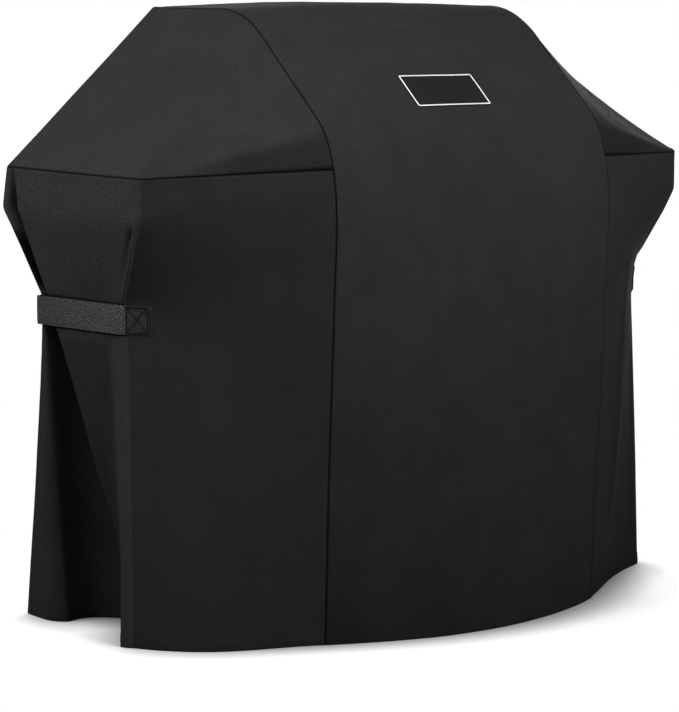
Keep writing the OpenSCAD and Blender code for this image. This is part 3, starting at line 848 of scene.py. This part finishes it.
def band(name, path, thick, finish, side, width=strap_high - strap_low, rows=10):
    """Flat band along plan points of its outer face, standing from strap_low up."""
    bm = bmesh.new()
    weave = bm.loops.layers.uv.new("weave")
    bmesh.ops.create_grid(bm, x_segments=len(path) - 1, y_segments=rows, size=1)
    run, spread = lengths(path), {}
    for v in bm.verts:
        i, share = round((v.co.x + 1) / 2 * (len(path) - 1)), (v.co.y + 1) / 2
        out = -left_of(path[min(i + 1, len(path) - 1)] - path[max(i - 1, 0)])
        edge = math.sin(math.pi * share) ** 0.25 if 0 < share < 1 else 0
        p = path[i] + out * 0.0006 * (edge - 1)
        spread[v] = (run[i], share * width)
        v.co = turned(p.x, p.y, strap_low + share * width, side)
    if side < 0:
        bmesh.ops.reverse_faces(bm, faces=bm.faces)
    lay_weave(bm, weave, spread)
    return piece(name, bm, thick, finish)


def finely(stops, step):
    """Plan path with a point at every step."""
    path = [stops[0]]
    for a, b in zip(stops, stops[1:]):
        count = max(1, math.ceil((b - a).length / step))
        path += [a.lerp(b, k / count) for k in range(1, count + 1)]
    return path


fold_line = fold_corner + Vector((0.0035, 0.002))
seam_mid = Vector((seam_x, back_y(strap_mid)))
back_way = (seam_mid - rear_turn).normalized()
back_out = -left_of(back_way)
pad_start = rear_turn + 0.015 * back_way + (0.0035 + webbing_thick) * back_out
pad_end = pad_start + 0.070 * back_way
turn_at = rear_turn + Vector((0.0118, 0.0055))
end_way = (turn_at - fold_line).normalized()
end_out = -left_of(end_way)
front_way_mid = (fold_corner - Vector((seam_x, front_y(strap_mid)))).normalized()
front_out = -left_of(front_way_mid)
patch_edge = fold_corner - round_at(strap_mid) * front_way_mid + 0.0021 * front_out
round_corner = fold_corner + 0.0062 * (front_out + end_out).normalized()
on_end = fold_line + 0.014 * end_way + webbing_thick * end_out
into_turn, out_of_turn = turn_at - 0.009 * end_way, turn_at + 0.009 * (pad_start - turn_at).normalized()
strap_path = [curve(patch_edge, round_corner, on_end, k / 14) for k in range(15)]
strap_path += finely([on_end, into_turn], 0.006)[1:]
strap_path += [curve(into_turn, turn_at, out_of_turn, k / 12) for k in range(1, 13)]
strap_path += finely([out_of_turn, pad_start, pad_end], 0.004)[1:]

for side, word in ((-1, "left"), (1, "right")):
    strap = band(word + "_strap_band", strap_path, webbing_thick, strap_webbing, side)
    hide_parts(word + "_strap")
    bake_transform(strap)

# Anchor patches: the strap's folded end, flat on the front panel beside the corner. Each is sewn through
# with a box and cross, and its turned end with a second row.
patch_l, patch_w, patch_thick = 0.048, 0.05, 0.0018
patch_cols, patch_rises = 20, 14
box_stitch = (0.0042, 0.0040, 0.0022)


def walk(row, gap):
    """Point and direction on a row of cloth, a distance from its first point."""
    for (a, out_a), (b, out_b) in zip(row, row[1:]):
        step = (b - a).length
        if gap <= step:
            return a.lerp(b, gap / step), out_a.lerp(out_b, gap / step)
        gap -= step
    return row[-1]


def on_cloth(name, gap, z, from_end=False):
    """Point and direction on a skirt panel, at a height and a distance from its first or last column."""
    j = max(k for k in range(len(skirt_z) - 1) if skirt_z[k] <= z)
    t = (z - skirt_z[j]) / (skirt_z[j + 1] - skirt_z[j])
    a, b = (walk(skins[name][k][::-1] if from_end else skins[name][k], gap) for k in (j, j + 1))
    return a[0].lerp(b[0], t), a[1].lerp(b[1], t).normalized()


def patch_rows(name, near, far, low, high, height, from_end):
    """Rows of points and directions of a patch that stands a height off the cloth."""
    made = []
    for j in range(patch_rises + 1):
        row = []
        for i in range(patch_cols + 1):
            u, w = i / patch_cols, j / patch_rises
            point, out = on_cloth(name, near + (far - near) * u, low + (high - low) * w, from_end)
            soft = min(1, 8 * min(u, 1 - u, w, 1 - w)) ** 0.5
            row.append((point + out * (height - 0.0005 * (1 - soft)), out))
        made.append(row)
    return made


for side, word in ((-1, "left"), (1, "right")):
    rows = patch_rows(word + "_front", patch_l, 0, strap_low, strap_high, patch_thick + 0.0003, True)
    patch = strip(word + "_anchor_patch", rows, 0, patch_thick, anchor_webbing_painted_shade, side < 0)
    spread = patch.data.uv_layers["weave"].data
    for loop in patch.data.loops:
        j, i = divmod(loop.vertex_index, patch_cols + 1)
        spread[loop.index].uv = (i / patch_cols * patch_l, j / patch_rises * patch_w)
    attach(patch, "cover")
    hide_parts(word + "_strap_anchor")

    def on_patch(u, w):
        """Point and direction on the patch, u along it and w up it, in metres."""
        up = w / patch_w * patch_rises
        low, high = rows[int(up)], rows[min(patch_rises, int(up) + 1)]
        return walk(low, u)[0].lerp(walk(high, u)[0], up - int(up)), walk(rows[round(up)], u)[1]

    corners = [(0.009, 0.003), (patch_l - 0.002, 0.003), (patch_l - 0.002, 0.047), (0.009, 0.047)]
    lines = [*zip(corners, corners[1:] + corners[:1]), (corners[0], corners[2]), (corners[1], corners[3]),
             ((0.004, 0.003), (0.004, 0.047))]
    box_thread = bmesh.new()
    for (u0, w0), (u1, w1) in lines:
        path = [on_patch(u0 + (u1 - u0) * k / 16, w0 + (w1 - w0) * k / 16) for k in range(17)]
        sew(box_thread, path, *box_stitch)
    stitching = piece(word + "_box_stitches", box_thread, None, thread.material)
    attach(stitching, "cover")
    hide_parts(word + "_anchor_stitching")

# Touch fastener: a hook pad inside each strap's end, and a loop pad for it on the back panel. Both are
# black nylon tape, sewn flat, and the two halves face each other when the strap is shut.
def pile_finish(name, colour, size):
    """Dense fuzzy or hooked face of a touch fastener."""
    n = Nodes(name)
    place = n.add("TexCoord").outputs["Object"]
    tufts = n.add("TexVoronoi")
    tufts.inputs["Scale"].default_value = size
    n.link(place, tufts.inputs["Vector"])
    fuzz = n.noise(place, size * 2.2, 3, 0.7)
    n.link(n.tint(colour, n.span(fuzz, 0.6, 1.4)), n.shader.inputs["Base Color"])
    n.shader.inputs["Roughness"].default_value = 0.85
    n.shader.inputs["Sheen Weight"].default_value = 0.08
    n.link(n.bump(n.sum("ADD", tufts.outputs["Distance"], fuzz), 0.0009, 0.8), n.shader.inputs["Normal"])
    return n.material


hook_finish = pile_finish("hook_tape", (0.02, 0.02, 0.02), 620)
loop_finish = pile_finish("loop_pile", (0.024, 0.024, 0.024), 420)
for side, word in ((-1, "left"), (1, "right")):
    inner = [p - webbing_thick * back_out for p in finely([pad_start, pad_end], 0.005)]
    hook = band(word + "_hook_tape", inner, 0.0012, hook_finish, side)
    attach(hook, word + "_strap")
    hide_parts(word + "_hook_pad")
    rows = patch_rows(word + "_back", 0.015, 0.085, strap_low, strap_high, 0.0010, False)
    pad = strip(word + "_loop_tape", rows, 0, 0.0009, loop_finish, side < 0)
    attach(pad, "cover")
    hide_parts(word + "_loop_pad")

# Label: a blank woven patch with rounded corners, sewn to the slope of the hood. A thin light line of satin
# stitch runs round it just inside its edge.
label_w, label_h, label_rise, label_thick, label_round = 0.170, 0.079, 0.0145, 0.0010, 0.005
slope_l = (upper_start - lower_end).length


def on_hood(x, up):
    """Point and direction on the hood's slope, at x and a distance above the lower bend."""
    row = len(skirt_z) - 1 + arch_low + (arch_high - arch_low) * up / slope_l
    share = (x / seam_x + 1) / 2
    i = max(k for k in range(len(centre_shares) - 1) if centre_shares[k] <= share)
    u = (share - centre_shares[i]) / (centre_shares[i + 1] - centre_shares[i])
    j, w = int(row), row - int(row)
    skin = skins["centre"]
    near, far = skin[j][i:i + 2], skin[j + 1][i:i + 2]
    point, out = (near[0][k].lerp(near[1][k], u).lerp(far[0][k].lerp(far[1][k], u), w) for k in (0, 1))
    return point, out.normalized()


def rounded_edge(inset, t):
    """Point at share t round the label's outline, in from its edge, on the hood."""
    half_x, half_y = label_w / 2 - inset, label_h / 2 - inset
    r = max(0.0008, label_round - inset)
    spots = []
    for cx, cy, start in ((half_x - r, half_y - r, 90), (half_x - r, r - half_y, 0),
                          (r - half_x, r - half_y, -90), (r - half_x, half_y - r, -180)):
        turns = [math.radians(start - 15 * k) for k in range(7)]
        spots += [(cx + r * math.cos(a), cy + r * math.sin(a)) for a in turns]
    spots.append(spots[0])
    k = t * (len(spots) - 1)
    i = min(int(k), len(spots) - 2)
    x, y = (a + (b - a) * (k - i) for a, b in zip(spots[i], spots[i + 1]))
    return on_hood(x, label_rise + label_h / 2 + y)


label_mesh = bmesh.new()
weave = label_mesh.loops.layers.uv.new("weave")
bmesh.ops.create_grid(label_mesh, x_segments=44, y_segments=20, size=1)
spread = {}
for v in label_mesh.verts:
    x, y = v.co.x * label_w / 2, v.co.y * label_h / 2
    r = label_round
    over_x, over_y = max(0, abs(x) - (label_w / 2 - r)), max(0, abs(y) - (label_h / 2 - r))
    if over_x and over_y and math.hypot(over_x, over_y) > r:
        pull = r / math.hypot(over_x, over_y)
        x = math.copysign(label_w / 2 - r + over_x * pull, x)
        y = math.copysign(label_h / 2 - r + over_y * pull, y)
    point, out = on_hood(x, label_rise + label_h / 2 + y)
    spread[v] = (x, y)
    v.co = point + out * (label_thick + 0.0002)
lay_weave(label_mesh, weave, spread)
label_finish = cloth_finish("label_twill", (0.0145, 0.0145, 0.0150))
label = piece("label_blank", label_mesh, label_thick, label_finish)
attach(label, "cover")
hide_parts("label_patch")

border_steps, border_in, border_w = 196, 0.0018, 0.0028
border_mesh = bmesh.new()
weave = border_mesh.loops.layers.uv.new("weave")
bmesh.ops.create_grid(border_mesh, x_segments=border_steps, y_segments=4, size=1)
for v in border_mesh.verts:
    t, share = (v.co.x + 1) / 2, (v.co.y + 1) / 2
    point, out = rounded_edge(border_in + border_w * (1 - share), t % 1)
    v.co = point + out * (label_thick + 0.0003 + 0.0005 * math.sin(math.pi * share))
for face in border_mesh.faces:
    face.smooth = True
    for loop in face.loops:
        loop[weave].uv = (loop.vert.co.x, loop.vert.co.z)
bmesh.ops.remove_doubles(border_mesh, verts=border_mesh.verts, dist=0.00002)
satin = Nodes("white_satin_thread")
stripes = satin.noise(satin.add("TexCoord").outputs["Object"], 900, 2, 0.6)
satin.link(satin.tint((0.72, 0.72, 0.72), satin.span(stripes, 0.82, 1.1)), satin.shader.inputs["Base Color"])
satin.shader.inputs["Roughness"].default_value = 0.45
satin.link(satin.bump(stripes, 0.0003, 0.5), satin.shader.inputs["Normal"])
border = piece("label_border", border_mesh, 0.0006, satin.material)
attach(border, "cover")

# Floor and light: a pale floor that keeps the cover's soft shadow, darkened close round the hem by a painted
# contact shadow from ambient occlusion, and turns plain white further out. Broad lamps stand all round, the
# strongest on the left above and low down behind and to the right.
floor_mesh = bmesh.new()
bmesh.ops.create_grid(floor_mesh, x_segments=1, y_segments=1, size=12)
n = Nodes("pale_floor")
rays = n.add("LightPath").outputs
seen = n.sum("MAXIMUM", n.sum("MAXIMUM", rays["Is Camera Ray"], rays["Is Glossy Ray"]),
             rays["Is Transmission Ray"])
away = n.add("VectorMath", operation="LENGTH")
n.link(n.add("TexCoord").outputs["Object"], away.inputs[0])
reach = n.add("MapRange", interpolation_type="SMOOTHSTEP")
for socket, value in (("From Min", 0.45), ("From Max", 1.02), ("To Min", 0.0), ("To Max", 1.0)):
    reach.inputs[socket].default_value = value
n.link(away.outputs["Value"], reach.inputs["Value"])
glow, blend = n.add("Emission"), n.add("MixShader")
glow.inputs["Color"].default_value = (1, 1, 1, 1)
n.link(n.sum("MULTIPLY", seen, reach.outputs["Result"]), blend.inputs["Fac"])
n.link(n.shader.outputs["BSDF"], blend.inputs[1])
n.link(glow.outputs["Emission"], blend.inputs[2])
# Painted contact shadow: the floor's colour seen by the camera is darkened by ambient occlusion near the cover;
# other rays see a grey floor.
near = n.add("AmbientOcclusion")
near.inputs["Distance"].default_value = 0.10
pale = n.add("Mix", data_type="RGBA")
pale.inputs[6].default_value = (0.25, 0.25, 0.25, 1)
n.link(n.tint((1, 1, 1), n.sum("POWER", near.outputs["AO"], 1.6)), pale.inputs[7])
n.link(seen, pale.inputs["Factor"])
n.link(pale.outputs[2], n.shader.inputs["Base Color"])
n.shader.inputs["Roughness"].default_value = 0.9
n.shader.inputs["Specular IOR Level"].default_value = 0
n.link(blend.outputs["Shader"], n.tree.nodes["Material Output"].inputs["Surface"])
floor = piece("floor", floor_mesh, None, n.material)

world = bpy.data.worlds.new("studio")
scene.world = world
world.use_nodes = True
tree = world.node_tree
rays = tree.nodes.new("ShaderNodeLightPath").outputs
seen = rays["Is Camera Ray"]
for other in ("Is Glossy Ray", "Is Transmission Ray"):
    either = tree.nodes.new("ShaderNodeMath")
    either.operation = "MAXIMUM"
    tree.links.new(seen, either.inputs[0])
    tree.links.new(rays[other], either.inputs[1])
    seen = either.outputs[0]
room, white = tree.nodes["Background"], tree.nodes.new("ShaderNodeBackground")
room.inputs["Color"].default_value = (1, 1, 1, 1)
room.inputs["Strength"].default_value = 0.06
white.inputs["Color"].default_value = (1, 1, 1, 1)
mixed = tree.nodes.new("ShaderNodeMixShader")
tree.links.new(seen, mixed.inputs["Fac"])
tree.links.new(room.outputs["Background"], mixed.inputs[1])
tree.links.new(white.outputs["Background"], mixed.inputs[2])
tree.links.new(mixed.outputs["Shader"], tree.nodes["World Output"].inputs["Surface"])

lamps = (
    ("key", (-2.4, 0.4, 1.9), (-0.3, 0, 0.7), 1.3, 46),
    ("high", (-1.8, 0.3, 2.8), (-0.3, 0, 0.7), 1.3, 31),
    ("corner", (-1.7, -1.7, 2.6), (-0.3, 0, 0.7), 1.3, 14),
    ("front", (-0.15, -2.5, 2.1), (0, 0, 0.7), 1.5, 43),
    ("low", (0.3, -2.7, 1.3), (0, 0, 0.6), 1.5, 40),
    ("back", (0.7, 2.9, 1.1), (0, 0, 0.5), 2.0, 95),
    ("right", (2.5, 1.8, 1.0), (0.4, 0, 0.5), 1.5, 110),
)
for name, place, target, size, power in lamps:
    lamp = bpy.data.objects.new(name, bpy.data.lights.new(name, "AREA"))
    lamp.data.shape = "DISK"
    lamp.data.size = size
    lamp.data.energy = power
    lamp.location = place
    lamp.rotation_euler = (Vector(target) - Vector(place)).to_track_quat("-Z", "Y").to_euler()
    scene.collection.objects.link(lamp)
